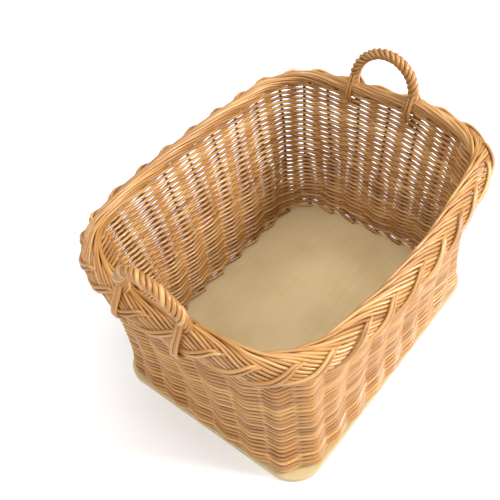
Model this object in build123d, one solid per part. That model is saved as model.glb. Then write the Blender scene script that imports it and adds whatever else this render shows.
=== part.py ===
from build123d import *
import math
import os

# Woven willow log basket: a plywood base, willow stakes set in it, two bands of randing,
# a plaited border and two roped handles. Millimetres, +Z up. The origin is the middle of
# the base's underside, X runs along the long sides and the handles stand at the two ends.

# Base board
BOARD_LENGTH = 468.0
BOARD_WIDTH = 346.0
BOARD_THICKNESS = 9.0
BOARD_CORNER_RADIUS = 44.0
BOARD_EDGE_ROUNDING = 1.0

# Wall: its middle surface at the base board and at the rim
BOARD_LEDGE = 2.0
WALL_THICKNESS = 13.0
WALL_CORNER_RADIUS_AT_BASE = 52.0
WALL_BOW_AT_BASE = 3.0
RIM_HEIGHT = 290.0
RIM_FLARE_LENGTH = 24.0
RIM_FLARE_WIDTH = 32.0
RIM_CORNER_RADIUS = 95.0
RIM_BOW_LONG_SIDE = 26.0
RIM_BOW_SHORT_SIDE = 22.0
FLARE_POWER = 2.0

# Heights of the two bands of weaving, and how far the bores through them run past
BAND_JOIN_HEIGHT = 133.0
WEAVE_TOP_BELOW_RIM = 12.0
SHELL_STAGE_HEIGHT = 42.0
CUT_OVERRUN = 1.0

# Stakes
STAKE_COUNT = 32
STAKE_DIAMETER = 5.0
STAKE_CLEARANCE = 0.3
STAKE_SOCKET_DEPTH = 7.0
STAKE_TOP_GAP = 0.2
CORNER_CROWDING_AT_RIM = 1.3
CORNER_CROWDING_POWER = 0.5

# Plaited border: how far its outer face stands off the wall's middle surface, by the
# depth below the rim
BORDER_OUTER_FACE = ((0.0, 4.0), (20.0, 22.0), (28.0, 25.0), (33.0, 17.0))
BORDER_SKIRT_CLEARANCE = 1.5

# Handles: two straight legs that stand a little above the rim, and a half circle over them
HANDLE_SPAN = 100.0
HANDLE_LEG = 7.0
HANDLE_OFFSET = 12.0
HANDLE_BOW_DIAMETER = 7.0
HANDLE_ROPE_DIAMETER = 15.0
HANDLE_TAIL = 62.0
HANDLE_LEAN = 8.0
HANDLE_CLEARANCE = 0.3
ROPE_FOOT_ABOVE_RIM = 1.6

# Tie rods that hold each handle over the border
TIE_DIAMETER = 4.0
TIE_SPACING = 4.6
TIE_CLEARANCE = 0.4
TIE_BEND_RADIUS = 7.0
TIE_TAIL = 12.0
TIE_CORNER_ROOM = 2.0

WEAVE_TOP = RIM_HEIGHT - WEAVE_TOP_BELOW_RIM
HALF_WALL = WALL_THICKNESS / 2
STAKE_RADIUS = STAKE_DIAMETER / 2


def wall_rise(height):
    """How far up the wall a height is, from 0 at the board to 1 at the rim."""
    return max(height - BOARD_THICKNESS, 0.0) / (RIM_HEIGHT - BOARD_THICKNESS)


def wall_size(height):
    """Half length, half width, corner radius and the two bows of the wall's middle surface."""
    flare = wall_rise(height) ** FLARE_POWER
    half_length = BOARD_LENGTH / 2 - BOARD_LEDGE - HALF_WALL + RIM_FLARE_LENGTH * flare
    half_width = BOARD_WIDTH / 2 - BOARD_LEDGE - HALF_WALL + RIM_FLARE_WIDTH * flare
    corner = WALL_CORNER_RADIUS_AT_BASE + (RIM_CORNER_RADIUS - WALL_CORNER_RADIUS_AT_BASE) * flare
    bow_long = WALL_BOW_AT_BASE + (RIM_BOW_LONG_SIDE - WALL_BOW_AT_BASE) * flare
    bow_short = WALL_BOW_AT_BASE + (RIM_BOW_SHORT_SIDE - WALL_BOW_AT_BASE) * flare
    return half_length, half_width, corner, bow_long, bow_short


def outline_arcs(height, offset=0.0):
    """The three arcs of one quarter of the wall's outline, from the end's middle to the side's.

    Each arc is its centre, its radius and its first and last angle in radians.
    """
    half_length, half_width, corner, bow_long, bow_short = wall_size(height)
    half_length += offset
    half_width += offset
    corner += offset
    end_x = half_length - bow_short
    end_y = half_width - bow_long
    side_radius = (end_x ** 2 + bow_long ** 2) / (2 * bow_long)
    end_radius = (end_y ** 2 + bow_short ** 2) / (2 * bow_short)
    side_centre_y = half_width - side_radius
    end_centre_x = half_length - end_radius
    # the corner arc touches both bowed sides from inside
    to_side = side_radius - corner
    to_end = end_radius - corner
    apart = math.hypot(end_centre_x, side_centre_y)
    along = (to_side ** 2 - to_end ** 2 + apart ** 2) / (2 * apart)
    across = math.sqrt(to_side ** 2 - along ** 2)
    unit_x = end_centre_x / apart
    unit_y = -side_centre_y / apart
    corner_x = along * unit_x + across * unit_y
    corner_y = side_centre_y + along * unit_y - across * unit_x
    first = math.atan2(corner_y, corner_x - end_centre_x)
    second = math.atan2(corner_y - side_centre_y, corner_x)
    return (
        ((end_centre_x, 0.0), end_radius, 0.0, first),
        ((corner_x, corner_y), corner, first, second),
        ((0.0, side_centre_y), side_radius, second, math.pi / 2),
    )


def outline_point(height, turn, offset=0.0):
    """The point a given part of a turn round the outline, counted from +X towards +Y.

    The turn is shared out evenly between the stakes, which crowd together at the corners.
    """
    arcs = outline_arcs(height, offset)
    crowding = 1.0 + (CORNER_CROWDING_AT_RIM - 1.0) * wall_rise(height) ** CORNER_CROWDING_POWER
    weights = (1.0, crowding, 1.0)
    lengths = [radius * (end - start) * weight for (_, radius, start, end), weight in zip(arcs, weights)]
    quarter, part = divmod((turn % 1.0) * 4, 1.0)
    quarter = int(quarter)
    if quarter % 2:
        part = 1.0 - part
    distance = part * sum(lengths)
    for (centre, radius, start, end), length in zip(arcs, lengths):
        if distance <= length or end == math.pi / 2:
            angle = start + (end - start) * distance / length
            x = centre[0] + radius * math.cos(angle)
            y = centre[1] + radius * math.sin(angle)
            break
        distance -= length
    if quarter in (1, 2):
        x = -x
    if quarter in (2, 3):
        y = -y
    return Vector(x, y, height)


def outline_face(height, offset=0.0):
    """The wall's whole outline at one height, as a flat face."""
    end_arc, corner_arc, side_arc = outline_arcs(height, offset)
    end_centre, end_radius, _, first = end_arc
    corner_centre, corner, _, second = corner_arc
    side_centre, side_radius, _, _ = side_arc
    first = math.degrees(first)
    second = math.degrees(second)
    edges = []
    for half in (0, 180):
        sign = 1 if half == 0 else -1
        here = (sign * corner_centre[0], sign * corner_centre[1])
        there = (-sign * corner_centre[0], sign * corner_centre[1])
        edges.append(CenterArc((sign * end_centre[0], 0), end_radius, half - first, 2 * first))
        edges.append(CenterArc(here, corner, half + first, second - first))
        edges.append(CenterArc((0, sign * side_centre[1]), side_radius, half + second, 180 - 2 * second))
        edges.append(CenterArc(there, corner, half + 180 - second, second - first))
    return Pos(0, 0, height) * make_face(edges)


def stages(bottom, top):
    """Heights from bottom to top, in equal stages no taller than the shell's stage height."""
    count = math.ceil((top - bottom) / SHELL_STAGE_HEIGHT)
    return [bottom + (top - bottom) * step / count for step in range(count + 1)]


def solid_between(bottom, top, offset):
    """The solid inside the wall's outline, moved out by an offset, between two heights."""
    return loft([outline_face(height, offset) for height in stages(bottom, top)], ruled=True)


def end_wall_point(height, across, offset):
    """The point of the +X end's outline at a given distance across."""
    centre, radius, _, _ = outline_arcs(height, offset)[0]
    return Vector(centre[0] + math.sqrt(radius ** 2 - across ** 2), across, height)


def upright(points, diameter):
    """A round rod with level ends, up through a list of points."""
    return loft([Pos(point) * Circle(diameter / 2) for point in points], ruled=True)


def stake_points(index, bottom, top):
    """The line of one stake, up the middle of the wall."""
    turn = index / STAKE_COUNT
    foot = outline_point(BOARD_THICKNESS, turn)
    heights = stages(BOARD_THICKNESS, top)
    return [Vector(foot.X, foot.Y, bottom)] + [outline_point(height, turn) for height in heights]


def base_board():
    """Plywood board with a blind socket for each stake."""
    board = extrude(RectangleRounded(BOARD_LENGTH, BOARD_WIDTH, BOARD_CORNER_RADIUS), BOARD_THICKNESS)
    rims = board.edges().filter_by(lambda edge: abs(edge.tangent_at(0).Z) < 0.5)
    board = fillet(rims, BOARD_EDGE_ROUNDING)
    socket_radius = STAKE_RADIUS + STAKE_CLEARANCE / 2
    for index in range(STAKE_COUNT):
        foot = outline_point(BOARD_THICKNESS, index / STAKE_COUNT)
        socket = Cylinder(socket_radius, STAKE_SOCKET_DEPTH, align=(Align.CENTER, Align.CENTER, Align.MAX))
        board -= Pos(foot.X, foot.Y, BOARD_THICKNESS) * socket
    return board


def stake(index):
    """One upright stake, from its socket to the underside of the border."""
    bottom = BOARD_THICKNESS - STAKE_SOCKET_DEPTH
    return upright(stake_points(index, bottom, WEAVE_TOP - STAKE_TOP_GAP), STAKE_DIAMETER)


def stake_bore(index):
    """The room that the weaving leaves round one stake."""
    return upright(stake_points(index, 0.0, WEAVE_TOP + CUT_OVERRUN), STAKE_DIAMETER + 2 * STAKE_CLEARANCE)


def weave_band(bottom, top, bores):
    """A band of weaving: the flared wall between two heights, open over each stake and tail."""
    band = solid_between(bottom, top, HALF_WALL) - solid_between(bottom, top, -HALF_WALL)
    return band - bores


def border_blank():
    """The border's ring before the handles pass through it."""
    levels = sorted((RIM_HEIGHT - depth, stand) for depth, stand in BORDER_OUTER_FACE)
    outer = loft([outline_face(height, stand) for height, stand in levels], ruled=True)
    lowest = levels[0][0]
    inner_levels = (lowest, WEAVE_TOP, RIM_HEIGHT)
    inner = loft([outline_face(height, -HALF_WALL) for height in inner_levels], ruled=True)
    recess_face = outline_face(WEAVE_TOP, HALF_WALL + BORDER_SKIRT_CLEARANCE)
    recess = extrude(recess_face, WEAVE_TOP - lowest, dir=(0, 0, -1))
    return outer - inner - recess


def handle_plane():
    """The plane of the handle at the +X end; its origin is where the bow leaves the weave."""
    leg = end_wall_point(WEAVE_TOP, HANDLE_SPAN / 2, 0.0)
    lean = math.radians(HANDLE_LEAN)
    return Plane(
        origin=(leg.X, HANDLE_OFFSET, WEAVE_TOP),
        x_dir=(0, 1, 0),
        z_dir=(math.cos(lean), 0, -math.sin(lean)),
    )


def arch_path(start):
    """The handle's line: up one leg from a given level in the plane, over and down the other."""
    half = HANDLE_SPAN / 2
    spring = WEAVE_TOP_BELOW_RIM + HANDLE_LEG
    up = Line((-half, start), (-half, spring))
    over = CenterArc((0, spring), half, 180, -180)
    down = Line((half, spring), (half, start))
    return handle_plane() * Wire([up, over, down])


def arch_tube(start, outer, inner=0.0):
    """A round bar or tube along the handle's line."""
    path = arch_path(start)
    section = Circle(outer / 2)
    if inner:
        section -= Circle(inner / 2)
    return sweep(Plane(origin=path @ 0, z_dir=path % 0) * section, path=path)


def handle_bow():
    """The stout rod that shapes the handle; its two tails run down inside the weave."""
    return arch_tube(-HANDLE_TAIL, HANDLE_BOW_DIAMETER)


def handle_bore():
    """The room that the border and the weave leave round the bow."""
    return arch_tube(-HANDLE_TAIL - CUT_OVERRUN, HANDLE_BOW_DIAMETER + 2 * HANDLE_CLEARANCE)


def handle_roping():
    """The thin rods twisted round the bow, as one sleeve from the border up and over."""
    start = WEAVE_TOP_BELOW_RIM + ROPE_FOOT_ABOVE_RIM
    return arch_tube(start, HANDLE_ROPE_DIAMETER, HANDLE_BOW_DIAMETER + 2 * HANDLE_CLEARANCE)


def tie_rod(across, outside):
    """One tail of the roping, drawn down over the border's outer or inner face."""
    stand = TIE_DIAMETER / 2 + TIE_CLEARANCE
    foot = (-stand, HANDLE_ROPE_DIAMETER / 2 + stand)
    tip = (BORDER_OUTER_FACE[-1][0] + TIE_TAIL, HALF_WALL + stand)
    if outside:
        over = [(depth, face + stand + TIE_CORNER_ROOM) for depth, face in BORDER_OUTER_FACE[1:3]]
        marks = [foot] + over + [tip]
    else:
        over = (WEAVE_TOP_BELOW_RIM / 2, HALF_WALL + stand)
        marks = [(depth, -face) for depth, face in (foot, over, tip)]
    points = [end_wall_point(RIM_HEIGHT - depth, across, face) for depth, face in marks]
    path = FilletPolyline(*points, radius=TIE_BEND_RADIUS)
    start = Plane(origin=path @ 0, z_dir=path % 0)
    return sweep(start * Circle(TIE_DIAMETER / 2), path=path)


def handle_ties():
    """Two tie rods outside and two inside at each leg of the handle."""
    solids = []
    for leg in (-1, 1):
        for side in (-1, 1):
            across = HANDLE_OFFSET + leg * HANDLE_SPAN / 2 + side * TIE_SPACING / 2
            for outside in (True, False):
                solids.append(tie_rod(across, outside).solid())
    return Compound(children=solids)


def write(shape, node):
    export_step(shape, f"parts/{node}.step")


def main():
    os.makedirs("parts", exist_ok=True)
    right_bore = handle_bore()
    handle_bores = [right_bore, mirror(right_bore, Plane.YZ)]
    stake_bores = [stake_bore(index) for index in range(STAKE_COUNT)]
    write(base_board(), "base_board")
    for index in range(STAKE_COUNT):
        write(stake(index), f"stake_{index + 1:02d}")
    write(weave_band(BOARD_THICKNESS, BAND_JOIN_HEIGHT, stake_bores), "lower_weave")
    write(weave_band(BAND_JOIN_HEIGHT, WEAVE_TOP, stake_bores + handle_bores), "upper_weave")
    write(border_blank() - handle_bores, "plaited_border")
    for node, make in (("bow", handle_bow), ("roping", handle_roping), ("ties", handle_ties)):
        right = make()
        write(right, f"right_handle_{node}")
        write(mirror(right, Plane.YZ), f"left_handle_{node}")


main()
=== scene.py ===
import math
import random
import bpy
from mathutils import Matrix, Vector


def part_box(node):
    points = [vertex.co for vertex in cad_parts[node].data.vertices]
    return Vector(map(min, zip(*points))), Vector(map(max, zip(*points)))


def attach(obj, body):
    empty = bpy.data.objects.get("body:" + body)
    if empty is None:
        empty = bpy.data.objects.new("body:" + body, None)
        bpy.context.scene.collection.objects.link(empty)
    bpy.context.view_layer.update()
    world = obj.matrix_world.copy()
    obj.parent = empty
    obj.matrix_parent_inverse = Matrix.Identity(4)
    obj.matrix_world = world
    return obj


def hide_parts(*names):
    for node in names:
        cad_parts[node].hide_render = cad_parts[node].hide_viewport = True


# Woven willow log basket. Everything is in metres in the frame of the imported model: +Z up, the
# origin under the middle of the base board, X along the long sides, a handle at each end.
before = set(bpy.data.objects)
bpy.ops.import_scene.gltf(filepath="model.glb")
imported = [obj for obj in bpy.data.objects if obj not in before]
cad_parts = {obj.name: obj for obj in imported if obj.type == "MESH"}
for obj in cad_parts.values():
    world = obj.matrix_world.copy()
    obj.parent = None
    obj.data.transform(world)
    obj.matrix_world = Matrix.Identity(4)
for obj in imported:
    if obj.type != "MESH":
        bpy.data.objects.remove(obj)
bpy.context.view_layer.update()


# ---------------------------------------------------------------------------------------------
# Base board: one sheet of birch-faced plywood, sawn out with round corners and sanded. Its plies
# show as fine stripes on the cut edge. The stakes stand in blind holes bored round its rim.

def pick(sockets, name):
    """The socket in use that has a given name or place."""
    if isinstance(name, int):
        return sockets[name]
    return next(socket for socket in sockets if socket.name == name and socket.enabled)


def add(tree, kind, inputs=None, **settings):
    """A node in a tree, with its settings, and its inputs wired or set."""
    made = tree.nodes.new(kind)
    for key, value in settings.items():
        setattr(made, key, value)
    for name, value in (inputs or {}).items():
        socket = pick(made.inputs, name)
        if isinstance(value, bpy.types.NodeSocket):
            tree.links.new(value, socket)
        else:
            socket.default_value = value
    return made


def maths(tree, operation, *values):
    """One sum on numbers, and its result."""
    return add(tree, "ShaderNodeMath", dict(enumerate(values)), operation=operation).outputs[0]


def mix_colour(tree, share, first, second):
    """One colour mixed over another, and its result."""
    made = add(tree, "ShaderNodeMix", data_type="RGBA", blend_type="MIX")
    for name, value in (("Factor", share), ("A", first), ("B", second)):
        socket = pick(made.inputs, name)
        if isinstance(value, bpy.types.NodeSocket):
            tree.links.new(value, socket)
        else:
            socket.default_value = value
    return pick(made.outputs, "Result")


def remap(tree, value, low, high, new_low=0.0, new_high=1.0):
    """A value stretched smoothly from one range to another."""
    inputs = {"Value": value, "From Min": low, "From Max": high, "To Min": new_low, "To Max": new_high}
    return add(tree, "ShaderNodeMapRange", inputs, interpolation_type="SMOOTHSTEP").outputs[0]


def noise(tree, vector, scale, detail=3.0):
    """Smooth noise from 0 to 1."""
    return add(tree, "ShaderNodeTexNoise", {"Vector": vector, "Scale": scale, "Detail": detail}).outputs[0]


def stretched(tree, vector, scale):
    """A vector stretched by a factor along each axis."""
    return add(tree, "ShaderNodeMapping", {"Vector": vector, "Scale": scale}).outputs[0]


def new_material(name):
    """An empty node material with its principled shader."""
    material = bpy.data.materials.new(name)
    material.use_nodes = True
    return material, material.node_tree, material.node_tree.nodes["Principled BSDF"]


def bump(tree, shader, height, distance, strength=1.0):
    """Fine relief on a material."""
    inputs = {"Height": height, "Distance": distance, "Strength": strength}
    tree.links.new(add(tree, "ShaderNodeBump", inputs).outputs[0], shader.inputs["Normal"])


def plywood():
    """Warm, faintly blotched face with its grain along X, and striped plies on the cut edge, whose colours
    are darkened overall as painted shade along the floor contact.
    """
    face_light = (0.58, 0.445, 0.235, 1.0)
    face_dark = (0.50, 0.365, 0.175, 1.0)
    # Both cut-edge colours are darker than the face's. This is painted shade for the shadow where the board
    # meets the floor under the wall's foot. The stripes between the two colours are the plies.
    edge_light_with_painted_shade = (0.52, 0.41, 0.24, 1.0)
    edge_dark_with_painted_shade = (0.41, 0.30, 0.16, 1.0)
    ply_thickness = 0.0018
    material, tree, shader = new_material("birch plywood")
    place = add(tree, "ShaderNodeTexCoord").outputs["Object"]
    grain = noise(tree, stretched(tree, place, (4.0, 60.0, 60.0)), 3.0, 6.0)
    blotches = noise(tree, place, 9.0)
    mottling = maths(tree, "MULTIPLY_ADD", blotches, 0.8, maths(tree, "MULTIPLY", grain, 0.2))
    face = mix_colour(tree, remap(tree, mottling, 0.38, 0.75), face_light, face_dark)
    height = add(tree, "ShaderNodeSeparateXYZ", {0: place}).outputs["Z"]
    layer = maths(tree, "PINGPONG", height, ply_thickness)
    stripe = remap(tree, layer, ply_thickness * 0.35, ply_thickness * 0.65, 0.0, 0.45)
    edge = mix_colour(tree, stripe, edge_light_with_painted_shade, edge_dark_with_painted_shade)
    edge = mix_colour(tree, maths(tree, "MULTIPLY", grain, 0.25), edge, face_dark)
    normal = add(tree, "ShaderNodeNewGeometry").outputs["Normal"]
    upright = maths(tree, "ABSOLUTE", add(tree, "ShaderNodeSeparateXYZ", {0: normal}).outputs["Z"])
    colour = mix_colour(tree, remap(tree, upright, 0.5, 0.8), edge, face)
    tree.links.new(colour, shader.inputs["Base Color"])
    tree.links.new(remap(tree, grain, 0.2, 0.8, 0.6, 0.8), shader.inputs["Roughness"])
    bump(tree, shader, grain, 0.0004)
    return material


def repaint(node, material):
    """Gives a CAD node its finish."""
    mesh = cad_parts[node].data
    mesh.materials.clear()
    mesh.materials.append(material)


repaint("base_board", plywood())


# ---------------------------------------------------------------------------------------------
# Stakes: 32 peeled willow rods, glued in the board's holes and left to lean outwards. They carry
# the wall's shape, and being natural rods they waver a little, which the weaving follows.

stake_count = 32
stake_girth = 0.0026
board_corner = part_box("base_board")[1]
board_thickness = board_corner[2]
rim_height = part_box("plaited_border")[1][2]
wall_inset = 0.0085
wall_foot = (board_corner[0] - wall_inset, board_corner[1] - wall_inset)
wall_flare = (0.024, 0.032)
corner_radius = (0.052, 0.095)
long_bow = (0.003, 0.026)
short_bow = (0.003, 0.022)
corner_crowding = 0.3
guide_top = 0.302


def between(ends, share):
    """A value part of the way from the first end to the second."""
    return ends[0] + (ends[1] - ends[0]) * share


def wall_arcs(height):
    """Centre, radius and end angles of the three arcs in one quarter of the wall's outline."""
    flare = (max(height - board_thickness, 0.0) / (rim_height - board_thickness)) ** 2
    half_length = wall_foot[0] + wall_flare[0] * flare
    half_width = wall_foot[1] + wall_flare[1] * flare
    corner = between(corner_radius, flare)
    bow_long = between(long_bow, flare)
    bow_short = between(short_bow, flare)
    end_x = half_length - bow_short
    end_y = half_width - bow_long
    side_radius = (end_x ** 2 + bow_long ** 2) / (2 * bow_long)
    end_radius = (end_y ** 2 + bow_short ** 2) / (2 * bow_short)
    side_y = half_width - side_radius
    end_centre = half_length - end_radius
    to_side = side_radius - corner
    to_end = end_radius - corner
    apart = math.hypot(end_centre, side_y)
    along = (to_side ** 2 - to_end ** 2 + apart ** 2) / (2 * apart)
    across = math.sqrt(to_side ** 2 - along ** 2)
    corner_x = (along * end_centre - across * side_y) / apart
    corner_y = side_y - (along * side_y + across * end_centre) / apart
    first = math.atan2(corner_y, corner_x - end_centre)
    second = math.atan2(corner_y - side_y, corner_x)
    return (
        ((end_centre, 0.0), end_radius, 0.0, first),
        ((corner_x, corner_y), corner, first, second),
        ((0.0, side_y), side_radius, second, math.pi / 2),
    )


def wall_point(turn, height):
    """The middle of the wall at a part of a turn, from +X towards +Y, and a height."""
    arcs = wall_arcs(height)
    rise = max(height - board_thickness, 0.0) / (rim_height - board_thickness)
    weights = (1.0, 1.0 + corner_crowding * math.sqrt(rise), 1.0)
    lengths = [arc[1] * (arc[3] - arc[2]) * weight for arc, weight in zip(arcs, weights)]
    quarter, part = divmod((turn % 1.0) * 4, 1.0)
    if quarter % 2:
        part = 1.0 - part
    distance = part * sum(lengths)
    for (centre, radius, start, end), length in zip(arcs, lengths):
        angle = start + (end - start) * min(distance / length, 1.0)
        x = centre[0] + radius * math.cos(angle)
        y = centre[1] + radius * math.sin(angle)
        if distance <= length:
            break
        distance -= length
    side_x = -1 if quarter in (1, 2) else 1
    side_y = -1 if quarter in (2, 3) else 1
    return Vector((side_x * x, side_y * y, height))


waver = random.Random(11)
waves_each = 6
waves = [(waver.randint(3, 17), waver.uniform(4, 26), waver.uniform(0, 6.28)) for _ in range(3 * waves_each)]
full_turn = 6.2832
waver_along = 0.000625
waver_out = 0.0009
waver_up = 0.0006
waver_free_above = 0.05
foot_bulge = 0.0055
foot_bulge_height = 0.022
foot_bulge_spread = 0.04
foot_bulge_start = 0.006
chord_share = 0.7
chord_fade = (0.245, 0.275)


def wavering(turn, height, group):
    """A smooth sum of one group of waves over the wall."""
    chosen = waves[group * waves_each:(group + 1) * waves_each]
    return sum(math.sin(full_turn * count * turn + pace * height + phase) for count, pace, phase in chosen)


def loose_point(turn, height):
    """The middle of the wall with its foot's swelling and the wavering of natural rods."""
    above = max(height - board_thickness, 0.0)
    free = min(above / waver_free_above, 1.0)
    point = wall_point(turn + free * waver_along * wavering(turn, height, 0), height)
    outwards = Vector((point.x, point.y, 0.0)).normalized()
    swell = math.exp(-((height - foot_bulge_height) / foot_bulge_spread) ** 2)
    bulge = foot_bulge * min(above / foot_bulge_start, 1.0) * swell
    point += outwards * (bulge + free * waver_out * wavering(turn, height, 1))
    point.z += free * waver_up * wavering(turn, height, 2)
    return point


def guide_point(turn, height):
    """The middle of the wall as woven: the rods pull straight from stake to stake under the border."""
    stake, share = divmod(turn * stake_count, 1.0)
    ends = [loose_point((stake + k) / stake_count, height) for k in (0, 1)]
    below = (chord_fade[1] - height) / (chord_fade[1] - chord_fade[0])
    pulled = chord_share * min(max(below, 0.0), 1.0)
    return loose_point(turn, height).lerp(ends[0].lerp(ends[1], share), pulled)


def build_guide(columns, rows):
    """A grid over the middle of the wall, with its unrolled place as its UV map."""
    mesh = bpy.data.meshes.new("wall guide")
    places = [(i / columns, j / rows) for j in range(rows + 1) for i in range(columns + 1)]
    points = [guide_point(u, v * guide_top) for u, v in places]
    step = columns + 1
    corners = [j * step + i for j in range(rows) for i in range(columns)]
    faces = [(k, k + 1, k + 1 + step, k + step) for k in corners]
    mesh.from_pydata(points, [], faces)
    outward = mesh.attributes.new("outward", "FLOAT_VECTOR", "POINT")
    small = 0.002
    for vertex, (u, v) in enumerate(places):
        height = v * guide_top
        along = wall_point(u + small, height) - wall_point(u - small, height)
        up = wall_point(u, height + small) - wall_point(u, height)
        outward.data[vertex].vector = along.cross(up).normalized()
    layer = mesh.uv_layers.new(name="unrolled")
    for loop in mesh.loops:
        layer.data[loop.index].uv = places[loop.vertex_index]
    guide = bpy.data.objects.new("wall guide", mesh)
    bpy.context.scene.collection.objects.link(guide)
    return guide


guide = build_guide(256, 48)


def named(tree, name, kind="FLOAT"):
    """An attribute read by its name."""
    made = add(tree, "GeometryNodeInputNamedAttribute", {"Name": name}, data_type=kind)
    return pick(made.outputs, "Attribute")


def store(tree, geometry, name, value, domain="POINT", kind="FLOAT"):
    """An attribute stored under a name, and the geometry that has it."""
    inputs = {"Geometry": geometry, "Name": name, "Value": value}
    made = add(tree, "GeometryNodeStoreNamedAttribute", inputs, data_type=kind, domain=domain)
    return made.outputs[0]


def chance(tree, low, high, identity, seed):
    """A random number for each rod."""
    inputs = {"Min": low, "Max": high, "ID": identity, "Seed": seed}
    return pick(add(tree, "FunctionNodeRandomValue", inputs, data_type="FLOAT").outputs, "Value")


def vector_maths(tree, operation, first, second):
    """One sum on two vectors, or on a vector and a scale."""
    made = add(tree, "ShaderNodeVectorMath", {0: first}, operation=operation)
    socket = pick(made.inputs, "Scale") if operation == "SCALE" else made.inputs[1]
    tree.links.new(second, socket)
    return made.outputs[0]


def combine(tree, x, y, z):
    return add(tree, "ShaderNodeCombineXYZ", {0: x, 1: y, 2: z}).outputs[0]


def new_tree(name, inputs):
    """A geometry tree with named inputs, and the node that gives them."""
    tree = bpy.data.node_groups.new(name, "GeometryNodeTree")
    tree.interface.new_socket("Geometry", in_out="INPUT", socket_type="NodeSocketGeometry")
    for title, kind, value in inputs:
        socket = tree.interface.new_socket(title, in_out="INPUT", socket_type="NodeSocket" + kind)
        if value is not None:
            socket.default_value = value
    tree.interface.new_socket("Geometry", in_out="OUTPUT", socket_type="NodeSocketGeometry")
    return tree, tree.nodes.new("NodeGroupInput").outputs


most_strands = 16.0


def copies_of_strands(tree, given):
    """The pattern's lines as curves, repeated, with a number for each rod."""
    curves = add(tree, "GeometryNodeMeshToCurve", {"Mesh": given["Geometry"]}).outputs[0]
    index = add(tree, "GeometryNodeInputIndex").outputs[0]
    curves = store(tree, curves, "strand", index, "CURVE", "INT")
    inputs = {0: curves, "Amount": given["Copies"]}
    repeat = add(tree, "GeometryNodeDuplicateElements", inputs, domain="SPLINE")
    curves = store(tree, repeat.outputs[0], "copy", repeat.outputs[1], "CURVE", "INT")
    rod = maths(tree, "MULTIPLY_ADD", named(tree, "copy", "INT"), most_strands, named(tree, "strand", "INT"))
    return store(tree, curves, "rod", rod, "CURVE", "INT")


def skin_rods(tree, given, curves):
    """Gives each line its round section, cut ends, finish and the values that the finish reads."""
    rod = named(tree, "rod", "INT")
    least = maths(tree, "SUBTRACT", 1.0, given["Uneven"])
    most = maths(tree, "ADD", 1.0, given["Uneven"])
    size = chance(tree, least, most, rod, given["Seed"])
    girth = maths(tree, "MULTIPLY", named(tree, "girth"), size)
    tone = chance(tree, 0.0, 1.0, rod, maths(tree, "ADD", given["Seed"], 7.0))
    curves = store(tree, curves, "tone", tone)
    parameter = add(tree, "GeometryNodeSplineParameter").outputs
    curves = store(tree, curves, "lengthwise", parameter["Length"])
    inputs = {"Resolution": given["Sides"], "Radius": 1.0}
    section = add(tree, "GeometryNodeCurvePrimitiveCircle", inputs).outputs[0]
    section = store(tree, section, "round", add(tree, "GeometryNodeSplineParameter").outputs["Factor"])
    inputs = {0: curves, 1: section, "Scale": girth, "Fill Caps": True}
    mesh = add(tree, "GeometryNodeCurveToMesh", inputs).outputs[0]
    mesh = add(tree, "GeometryNodeSetShadeSmooth", {0: mesh}).outputs[0]
    mesh = add(tree, "GeometryNodeRealizeInstances", {0: mesh}).outputs[0]
    mesh = add(tree, "GeometryNodeSetMaterial", {0: mesh, "Material": given["Finish"]}).outputs[0]
    tree.links.new(mesh, tree.nodes.new("NodeGroupOutput").inputs[0])


rod_inputs = [
    ("Copies", "Int", 1),
    ("Sides", "Int", 8),
    ("Uneven", "Float", 0.06),
    ("Seed", "Int", 1),
    ("Finish", "Material", None),
]


sway_per_stake = 0.9
sway_per_rod = 3.7


def build_wrap_tree():
    """Lays a pattern on the wall: X counts stakes, Y is the stand off the wall, Z the height."""
    extra = [
        ("Wall", "Object", None),
        ("Sway Out", "Float", 0.0),
        ("Sway Up", "Float", 0.0),
        ("Sway Along", "Float", 0.0),
    ]
    tree, given = new_tree("rods laid on the wall", rod_inputs + extra)
    curves = copies_of_strands(tree, given)
    rod = named(tree, "rod", "INT")
    here = add(tree, "ShaderNodeSeparateXYZ", {0: add(tree, "GeometryNodeInputPosition").outputs[0]}).outputs
    where = combine(tree, maths(tree, "MULTIPLY", here[0], sway_per_stake),
                    maths(tree, "MULTIPLY", rod, sway_per_rod), given["Seed"])
    sway = add(tree, "ShaderNodeTexNoise", {"Vector": where, "Scale": 1.0, "Detail": 1.0}).outputs["Color"]
    sway = add(tree, "ShaderNodeSeparateXYZ", {0: sway}).outputs
    swing = [maths(tree, "SUBTRACT", channel, 0.5) for channel in sway]
    along = maths(tree, "ADD", here[0], named(tree, "copy", "INT"))
    along = maths(tree, "MULTIPLY_ADD", swing[0], given["Sway Along"], along)
    out = maths(tree, "MULTIPLY_ADD", swing[1], given["Sway Out"], here[1])
    height = maths(tree, "MULTIPLY_ADD", swing[2], given["Sway Up"], here[2])
    turn = maths(tree, "FRACT", maths(tree, "DIVIDE", along, float(stake_count)))
    place = combine(tree, turn, maths(tree, "DIVIDE", height, guide_top), 0.0)
    wall = add(tree, "GeometryNodeObjectInfo", {"Object": given["Wall"]}).outputs["Geometry"]
    unrolled = named(tree, "unrolled", "FLOAT_VECTOR")
    found = []
    middle = add(tree, "GeometryNodeInputPosition").outputs[0]
    for value in (middle, named(tree, "outward", "FLOAT_VECTOR")):
        sampler = add(tree, "GeometryNodeSampleUVSurface", data_type="FLOAT_VECTOR")
        for place_of, source in ((0, wall), (1, value), (2, unrolled), (3, place)):
            tree.links.new(source, [socket for socket in sampler.inputs if socket.enabled][place_of])
        found.append(pick(sampler.outputs, "Value"))
    position = vector_maths(tree, "ADD", found[0], vector_maths(tree, "SCALE", found[1], out))
    curves = add(tree, "GeometryNodeSetPosition", {0: curves, "Position": position}).outputs[0]
    skin_rods(tree, given, curves)
    return tree


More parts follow.
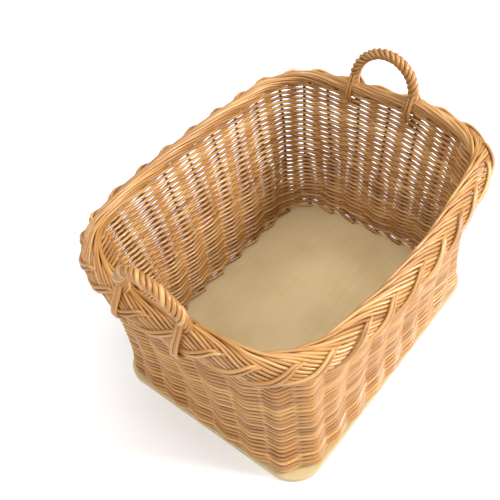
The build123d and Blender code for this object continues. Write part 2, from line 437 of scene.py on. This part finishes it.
def strands(name, lines, girths):
    """A pattern: one chain of edges for each line, with the half thickness at each point."""
    mesh = bpy.data.meshes.new(name)
    points, edges = [], []
    for line in lines:
        first = len(points)
        points += [tuple(point) for point in line]
        edges += [(k, k + 1) for k in range(first, len(points) - 1)]
    mesh.from_pydata(points, edges, [])
    girth = mesh.attributes.new("girth", "FLOAT", "POINT")
    for vertex, value in enumerate(value for line in girths for value in line):
        girth.data[vertex].value = value
    return mesh


def grow(name, tree, pattern, **values):
    """Runs a tree on a pattern and keeps the result as a plain mesh."""
    piece = bpy.data.objects.new(name, pattern)
    bpy.context.scene.collection.objects.link(piece)
    modifier = piece.modifiers.new("grow", "NODES")
    modifier.node_group = tree
    for item in tree.interface.items_tree:
        if item.item_type == "SOCKET" and item.in_out == "INPUT" and item.name in values:
            modifier[item.identifier] = values[item.name]
    grown = piece.evaluated_get(bpy.context.evaluated_depsgraph_get())
    mesh = bpy.data.meshes.new_from_object(grown)
    mesh.name = name
    piece.modifiers.clear()
    piece.data = mesh
    if not mesh.materials or mesh.materials[0] is None:
        mesh.materials.clear()
        mesh.materials.append(values["Finish"])
    return piece


rod_spread = 57.0
fibres_per_metre = 14.0
fibres_round = 14.0
drifts_per_metre = 9.0
drift_share = 1.1
buds_per_metre = 16.0
buds_round = 2.2


def build_skin_group():
    """Peeled, boiled willow: tone from rod to rod, streaks along it and the marks of buds."""
    group = bpy.data.node_groups.new("willow skin", "ShaderNodeTree")
    for title, kind in (("Pale", "Color"), ("Tan", "Color"), ("Brown", "Color"), ("Streaks", "Float")):
        group.interface.new_socket(title, in_out="INPUT", socket_type="NodeSocket" + kind)
    for title, kind in (("Colour", "Color"), ("Roughness", "Float"), ("Relief", "Float")):
        group.interface.new_socket(title, in_out="OUTPUT", socket_type="NodeSocket" + kind)
    given = group.nodes.new("NodeGroupInput").outputs
    tone, length, turned = (
        add(group, "ShaderNodeAttribute", attribute_name=name).outputs["Fac"]
        for name in ("tone", "lengthwise", "round")
    )
    around = maths(group, "PINGPONG", turned, 0.5)
    rod = maths(group, "MULTIPLY", tone, rod_spread)
    fibre_place = combine(group, maths(group, "MULTIPLY", length, fibres_per_metre),
                          maths(group, "MULTIPLY", around, fibres_round), rod)
    fibres = noise(group, fibre_place, 1.6, 5.0)
    drift_place = combine(group, maths(group, "MULTIPLY", length, drifts_per_metre), around, rod)
    drift = noise(group, drift_place, 1.0, 2.0)
    shade = maths(group, "MULTIPLY_ADD", maths(group, "SUBTRACT", drift, 0.5), drift_share, tone)
    streak = maths(group, "MULTIPLY", maths(group, "SUBTRACT", fibres, 0.5), given["Streaks"])
    shade = maths(group, "ADD", shade, streak)
    colour = mix_colour(group, remap(group, shade, 0.0, 0.55), given["Pale"], given["Tan"])
    colour = mix_colour(group, remap(group, shade, 0.65, 1.45), colour, given["Brown"])
    bud_place = combine(group, maths(group, "MULTIPLY", length, buds_per_metre),
                        maths(group, "MULTIPLY", around, buds_round), rod)
    bud = add(group, "ShaderNodeTexVoronoi", {"Vector": bud_place, "Scale": 1.0}).outputs["Distance"]
    spot = remap(group, bud, 0.03, 0.10, 0.65, 0.0)
    colour = mix_colour(group, spot, colour, given["Brown"])
    out = group.nodes.new("NodeGroupOutput").inputs
    group.links.new(colour, out["Colour"])
    group.links.new(remap(group, fibres, 0.3, 0.7, 0.22, 0.38), out["Roughness"])
    relief = maths(group, "MULTIPLY_ADD", spot, 0.8, fibres)
    group.links.new(relief, out["Relief"])
    return group


skin_group = build_skin_group()


def willow(name, pale, tan, brown, streaks):
    """A willow finish from its three colours."""
    material, tree, shader = new_material(name)
    skin = tree.nodes.new("ShaderNodeGroup")
    skin.node_tree = skin_group
    for title, colour in (("Pale", pale), ("Tan", tan), ("Brown", brown)):
        skin.inputs[title].default_value = (*colour, 1.0)
    skin.inputs["Streaks"].default_value = streaks
    tree.links.new(skin.outputs["Colour"], shader.inputs["Base Color"])
    tree.links.new(skin.outputs["Roughness"], shader.inputs["Roughness"])
    bump(tree, shader, skin.outputs["Relief"], 0.0003, 0.7)
    shader.inputs["Specular IOR Level"].default_value = 0.65
    return material


wrap_tree = build_wrap_tree()
# The stakes' colours are about half as bright as the weaving's. This is partly the stakes' own darker tone
# and partly painted shade for the gaps between the rods where the stakes show. The handle bows share this
# finish.
stake_finish_with_painted_shade = willow("peeled willow stakes with painted shade", (0.25, 0.115, 0.035), (0.18, 0.072, 0.021),
                      (0.10, 0.038, 0.010), 0.8)
stake_foot = 0.0025
stake_head = 0.2775
stake_steps = 40
stake_taper = 0.12
stake_shares = [k / stake_steps for k in range(stake_steps + 1)]

for number in range(stake_count):
    line = [(number, 0.0, stake_foot + (stake_head - stake_foot) * share) for share in stake_shares]
    girths = [stake_girth * (1.0 - stake_taper * share) for share in stake_shares]
    pattern = strands("stake line", [line], [girths])
    stake = grow(f"willow_stake_{number + 1:02d}", wrap_tree, pattern, Wall=guide, Sides=10, Uneven=0.04,
                 Seed=number, Finish=stake_finish_with_painted_shade)
    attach(stake, "root")
    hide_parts(f"stake_{number + 1:02d}")


# ---------------------------------------------------------------------------------------------
# Weaving: two bands of French randing in buff willow. A rod starts with its thick end inside each
# stake, climbs one row at every stake, in and out by turns, and runs out in a thin tip at the top.

weave_finish = willow("buff willow rods", (0.52, 0.282, 0.084), (0.39, 0.172, 0.041),
                      (0.20, 0.070, 0.015), 0.9)
rod_stand = 0.0052
stroke_straightness = 0.95
press = 1.15
points_per_stake = 8
butt_overhang = 0.07
butt_tuck = 0.6
weave_butt = 0.0050
weave_tip = 0.0038
row_rise = (weave_butt + weave_tip) / 2
lower_rows = 27.9
upper_rows = 32.9
board_gap = 0.0002
lower_start = board_thickness + board_gap
band_lap = 0.0019
upper_start = lower_start + weave_butt / 2 + lower_rows * row_rise - band_lap


def stroke(along):
    """In and out: -1 inside the even stakes, 1 outside the odd ones, nearly straight between."""
    part = along % 2.0
    straight = 2 * part - 1 if part < 1 else 3 - 2 * part
    return stroke_straightness * straight - (1 - stroke_straightness) * math.cos(math.pi * along)


def weave_line(start, rows):
    """One weaving rod from its butt to its tip, with its half thickness."""
    line, girths = [], []
    for k in range(round((rows + butt_overhang) * points_per_stake) + 1):
        along = k / points_per_stake - butt_overhang
        climbed = max(along, 0.0)
        share = climbed / rows
        thinning = (weave_tip - weave_butt) * climbed * share / 2
        height = start + weave_butt / 2 + weave_butt * climbed + thinning
        tucked = min(butt_tuck + climbed, 1.0)
        line.append((along, tucked * rod_stand * stroke(climbed), height))
        girths.append(press * (weave_butt + (weave_tip - weave_butt) * share) / 2)
    return line, girths


def weave_piece(name, node, start, rows, seed):
    """One band of weaving, with a rod from each stake."""
    line, girths = weave_line(start, rows)
    pattern = strands("weaving line", [line], [girths])
    piece = grow(name, wrap_tree, pattern, Wall=guide, Copies=stake_count, Sides=8, Uneven=0.07, Seed=seed,
                 Finish=weave_finish, **{"Sway Out": 0.0010, "Sway Up": 0.0008})
    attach(piece, "root")
    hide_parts(node)


weave_piece("lower_weave_rods", "lower_weave", lower_start, lower_rows, 21)
weave_piece("upper_weave_rods", "upper_weave", upper_start, upper_rows, 33)


# ---------------------------------------------------------------------------------------------
# Plaited border: at each stake a bundle of four rods, two of them from along inside the rim,
# sweeps outwards over it and dives behind a pair. The pair runs under the edge, climbs back over
# the bundle and tucks in under the next one.

border_finish = willow("border willow rods", (0.53, 0.295, 0.10), (0.40, 0.185, 0.048),
                       (0.19, 0.068, 0.016), 0.8)
border_girth = 0.0021
route_steps = 5


def smooth(points):
    """A smooth line through a few points."""
    ends = [points[0]] + list(points) + [points[-1]]
    line = []
    for a, b, c, d in zip(ends, ends[1:], ends[2:], ends[3:]):
        for k in range(route_steps):
            t = k / route_steps
            weights = (
                -t + 2 * t * t - t ** 3,
                2 - 5 * t * t + 3 * t ** 3,
                t + 4 * t * t - 3 * t ** 3,
                t ** 3 - t * t,
            )
            line.append(tuple(sum(w * p[i] for w, p in zip(weights, (a, b, c, d))) / 2 for i in range(3)))
    return line + [tuple(points[-1])]


# along in stakes, then millimetres off the wall's middle and from the rim's top
bundle_route = ((-0.75, -2, -22), (-0.3, -5, -11), (0.15, -3.5, -5.5), (0.65, 4, -3.5), (1.15, 12.5, -8),
                (1.6, 17.5, -16), (2.0, 19.5, -23), (2.35, 13, -29))
pair_route = ((0.75, 10, -28), (1.15, 18, -30), (1.65, 22, -27), (2.05, 23, -20), (2.35, 19.5, -12),
              (2.6, 14, -5), (2.8, 9.5, -6.6), (2.98, 6.5, -10), (3.2, 3, -12))
pair_lift = (4.2, 4.2, 4.2, 4.0, 3.4, 1.6, 0.0, -0.5, -0.5)
inner_run = ((-2.3, -2, -17), (-1.8, -6.5, -10.5), (-1.1, -7.5, -4.5), (-0.45, -5.5, -1.8),
             (0.1, -1.5, -1.8))
inner_drop = 2.4
bundle_join = 3
bundle_step = 0.25
last_rod_up = 0.25
pair_step = -0.1
pair_tuck = 0.5


def border_line(route, along, out, up):
    """A smooth border rod on a route, moved along in stakes and out and up in millimetres."""
    moved = [(s + along, (d + out) / 1000, rim_height + (h + up) / 1000) for s, d, h in route]
    return smooth(moved)


border_lines = [
    border_line(bundle_route, bundle_step * 2, 0.0, 0.0),
    border_line(bundle_route, bundle_step * 3, 0.0, last_rod_up),
]
for k in range(2):
    run = [(along, out, up - inner_drop * k) for along, out, up in inner_run[:-1]] + [inner_run[-1]]
    run += bundle_route[bundle_join:]
    border_lines.append(border_line(run, bundle_step * k, 0.0, 0.0))
upper_pair_route = [(along, out, up + lift) for (along, out, up), lift in zip(pair_route, pair_lift)]
border_lines.append(border_line(pair_route, 0.0, 0.0, 0.0))
border_lines.append(border_line(upper_pair_route, pair_step, -pair_tuck, 0.0))
border_girths = [[border_girth] * len(line) for line in border_lines]
border_pattern = strands("border lines", border_lines, border_girths)
border = grow("border_rods", wrap_tree, border_pattern, Wall=guide, Copies=stake_count, Sides=8,
              Uneven=0.08, Seed=5, Finish=border_finish,
              **{"Sway Out": 0.0016, "Sway Up": 0.0016, "Sway Along": 0.05})
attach(border, "root")
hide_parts("plaited_border")


# ---------------------------------------------------------------------------------------------
# Handles: a stout willow bow pushed down beside the stakes at each end, with four thin rods
# twisted right-handed round it. Their tails are drawn over the border, inside and out.

handle_finish = willow("handle willow rods", (0.52, 0.295, 0.10), (0.39, 0.185, 0.05),
                       (0.19, 0.07, 0.017), 0.8)
handle_half_span = 0.050
handle_middle = 0.012
handle_leg = 0.007
handle_lean = math.radians(8)
leg_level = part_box("upper_weave")[1][2]
rope_foot_depth = 0.002
handle_step = 0.0015
rope_strands = 4
rope_lead = 0.034
rope_reach = 0.0055
rope_girth = 0.0030
bow_girth = 0.0025


def end_wall_x(height, across):
    """How far out the end wall's middle stands, at a height and a distance across."""
    centre, radius, _, _ = wall_arcs(height)[0]
    return centre[0] + math.sqrt(radius ** 2 - across ** 2)


def handle_line(side):
    """The handle's centre line up one leg, over and down the other."""
    up = Vector((side * math.sin(handle_lean), 0.0, math.cos(handle_lean)))
    foot = Vector((side * end_wall_x(leg_level, handle_half_span), handle_middle, leg_level))
    spring = rim_height - leg_level + handle_leg
    leg = spring + rope_foot_depth
    total = 2 * leg + math.pi * handle_half_span
    line = []
    count = round(total / handle_step)
    for k in range(count + 1):
        run = total * k / count
        angle = min(max((run - leg) / handle_half_span, 0.0), math.pi)
        past = max(run - leg - math.pi * handle_half_span, 0.0)
        level = spring - max(leg - run, 0.0) - past + handle_half_span * math.sin(angle)
        across = -handle_half_span * math.cos(angle)
        line.append(foot + up * level + Vector((0.0, across, 0.0)))
    return line


rope_sway_per_metre = 40.0
rope_sway_between = 31.0
rope_sway_turn = 0.10
rope_sway_reach = 0.18


def build_rope_tree():
    """Twists copies of a line round it like a rope."""
    extra = [("Lead", "Float", 0.03), ("Reach", "Float", 0.005)]
    tree, given = new_tree("rods twisted round a bow", rod_inputs + extra)
    curves = copies_of_strands(tree, given)
    run = add(tree, "GeometryNodeSplineParameter").outputs["Length"]
    share = maths(tree, "DIVIDE", named(tree, "copy", "INT"), given["Copies"])
    turns = maths(tree, "ADD", maths(tree, "DIVIDE", run, given["Lead"]), share)
    where = combine(tree, maths(tree, "MULTIPLY", run, rope_sway_per_metre),
                    maths(tree, "MULTIPLY", share, rope_sway_between), given["Seed"])
    sway = maths(tree, "SUBTRACT", noise(tree, where, 1.0, 1.0), 0.5)
    angle = maths(tree, "MULTIPLY", maths(tree, "MULTIPLY_ADD", sway, rope_sway_turn, turns), 2 * math.pi)
    reach = maths(tree, "MULTIPLY", given["Reach"], maths(tree, "MULTIPLY_ADD", sway, rope_sway_reach, 1.0))
    normal = add(tree, "GeometryNodeInputNormal").outputs["Normal"]
    tangent = add(tree, "GeometryNodeInputTangent").outputs["Tangent"]
    beside = vector_maths(tree, "CROSS_PRODUCT", tangent, normal)
    first = vector_maths(tree, "SCALE", normal, maths(tree, "MULTIPLY", reach, maths(tree, "COSINE", angle)))
    second = vector_maths(tree, "SCALE", beside, maths(tree, "MULTIPLY", reach, maths(tree, "SINE", angle)))
    shift = vector_maths(tree, "ADD", first, second)
    curves = add(tree, "GeometryNodeSetPosition", {0: curves, "Offset": shift}).outputs[0]
    skin_rods(tree, given, curves)
    return tree


def build_plain_tree():
    """Skins lines where they are."""
    tree, given = new_tree("plain rods", rod_inputs)
    skin_rods(tree, given, copies_of_strands(tree, given))
    return tree


# millimetres off the wall's middle and from the rim's top
tie_outside = ((3, 15), (9, 7), (17, -5), (25, -15), (29.5, -26), (25, -36), (11, -44), (8, -49))
tie_inside = ((-2, 14), (-7, 6), (-12, -5), (-13.5, -15), (-11, -24), (-6, -31))
tie_spacing = 0.0053
tie_girth = 0.0026


def tie_line(side, across, route):
    """A tail of the roping, down over the border beside a leg."""
    points = []
    for out, up in route:
        height = rim_height + up / 1000
        points.append((side * (end_wall_x(min(height, rim_height), across) + out / 1000), across, height))
    return smooth(points)


rope_tree = build_rope_tree()
plain_tree = build_plain_tree()
for side, name in ((-1, "left"), (1, "right")):
    line = handle_line(side)
    pattern = strands("handle line", [line], [[rope_girth] * len(line)])
    roping = grow(f"{name}_handle_rods", rope_tree, pattern, Copies=rope_strands, Sides=10, Uneven=0.07,
                  Seed=3 + side, Lead=rope_lead, Reach=rope_reach, Finish=handle_finish)
    lines = [
        tie_line(side, handle_middle + leg * handle_half_span + pair * tie_spacing / 2, route)
        for leg in (-1, 1) for pair in (-1, 1) for route in (tie_outside, tie_inside)
    ]
    pattern = strands("tie lines", lines, [[tie_girth] * len(line) for line in lines])
    ties = grow(f"{name}_handle_tails", plain_tree, pattern, Sides=10, Uneven=0.08, Seed=8 + side,
                Finish=handle_finish)
    for piece, node in ((roping, "roping"), (ties, "ties")):
        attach(piece, "root")
        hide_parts(f"{name}_handle_{node}")
    pattern = strands("bow line", [line], [[bow_girth] * len(line)])
    # The bow takes the stakes' darker finish, painted shade included.
    bow = grow(f"{name}_handle_stem", plain_tree, pattern, Sides=12, Uneven=0.0, Seed=6, Finish=stake_finish_with_painted_shade)
    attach(bow, "root")
    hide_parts(f"{name}_handle_bow")

bpy.data.objects.remove(guide)


# ---------------------------------------------------------------------------------------------
# Floor, light and camera: a pale floor, a key lamp from the right, a weaker one from the left, a
# broad one overhead and pale air all round.

floor_reach = 6
floor_level = -0.0004
floor_corners = [
    (x * floor_reach, y * floor_reach, floor_level)
    for x, y in ((-1, -1), (1, -1), (1, 1), (-1, 1))
]
floor_mesh = bpy.data.meshes.new("floor")
floor_mesh.from_pydata(floor_corners, [], [(0, 1, 2, 3)])
floor = bpy.data.objects.new("floor", floor_mesh)
bpy.context.scene.collection.objects.link(floor)
floor_finish, floor_tree, floor_shader = new_material("pale floor")
floor_place = add(floor_tree, "ShaderNodeTexCoord").outputs["Object"]
floor_clouds = noise(floor_tree, floor_place, 2.0)
floor_tone = mix_colour(floor_tree, floor_clouds, (0.90, 0.90, 0.90, 1), (0.93, 0.93, 0.93, 1))
floor_tree.links.new(floor_tone, floor_shader.inputs["Base Color"])
floor_shader.inputs["Roughness"].default_value = 0.9
floor_mesh.materials.append(floor_finish)


def soft_lamp(name, place, target, size, power):
    """A square area lamp aimed at a point."""
    light = bpy.data.lights.new(name, "AREA")
    light.size = size
    light.energy = power
    lamp = bpy.data.objects.new(name, light)
    lamp.location = place
    lamp.rotation_euler = (Vector(target) - Vector(place)).to_track_quat("-Z", "Y").to_euler()
    bpy.context.scene.collection.objects.link(lamp)


soft_lamp("key lamp", (1.1, -1.9, 1.5), (0.0, 0.0, 0.15), size=0.8, power=80.0)
soft_lamp("fill lamp", (-1.7, -0.5, 1.2), (0.0, 0.0, 0.15), size=1.4, power=17.0)
soft_lamp("ceiling lamp", (0.0, 0.0, 3.0), (0.0, 0.0, 0.0), size=3.0, power=80.0)
world = bpy.data.worlds.new("pale air")
world.use_nodes = True
world.node_tree.nodes["Background"].inputs["Color"].default_value = (1.0, 1.0, 1.0, 1.0)
world.node_tree.nodes["Background"].inputs["Strength"].default_value = 0.44
bpy.context.scene.world = world
bpy.context.scene.view_settings.view_transform = "Standard"

camera_place = Vector((-0.5452, -0.4504, 0.9364))
camera_look = Vector((0.485, 0.480, -0.731)).normalized()
camera_right = Vector((0.626, -0.775, -0.094)).normalized()
camera_up = camera_right.cross(camera_look).normalized()
camera_data = bpy.data.cameras.new("camera")
camera_data.sensor_width = 36.0
camera_data.lens = 51.98
camera = bpy.data.objects.new("camera", camera_data)
turned = Matrix((camera_right, camera_up, -camera_look)).transposed().to_4x4()
camera.matrix_world = Matrix.Translation(camera_place) @ turned
bpy.context.scene.collection.objects.link(camera)
bpy.context.scene.camera = camera
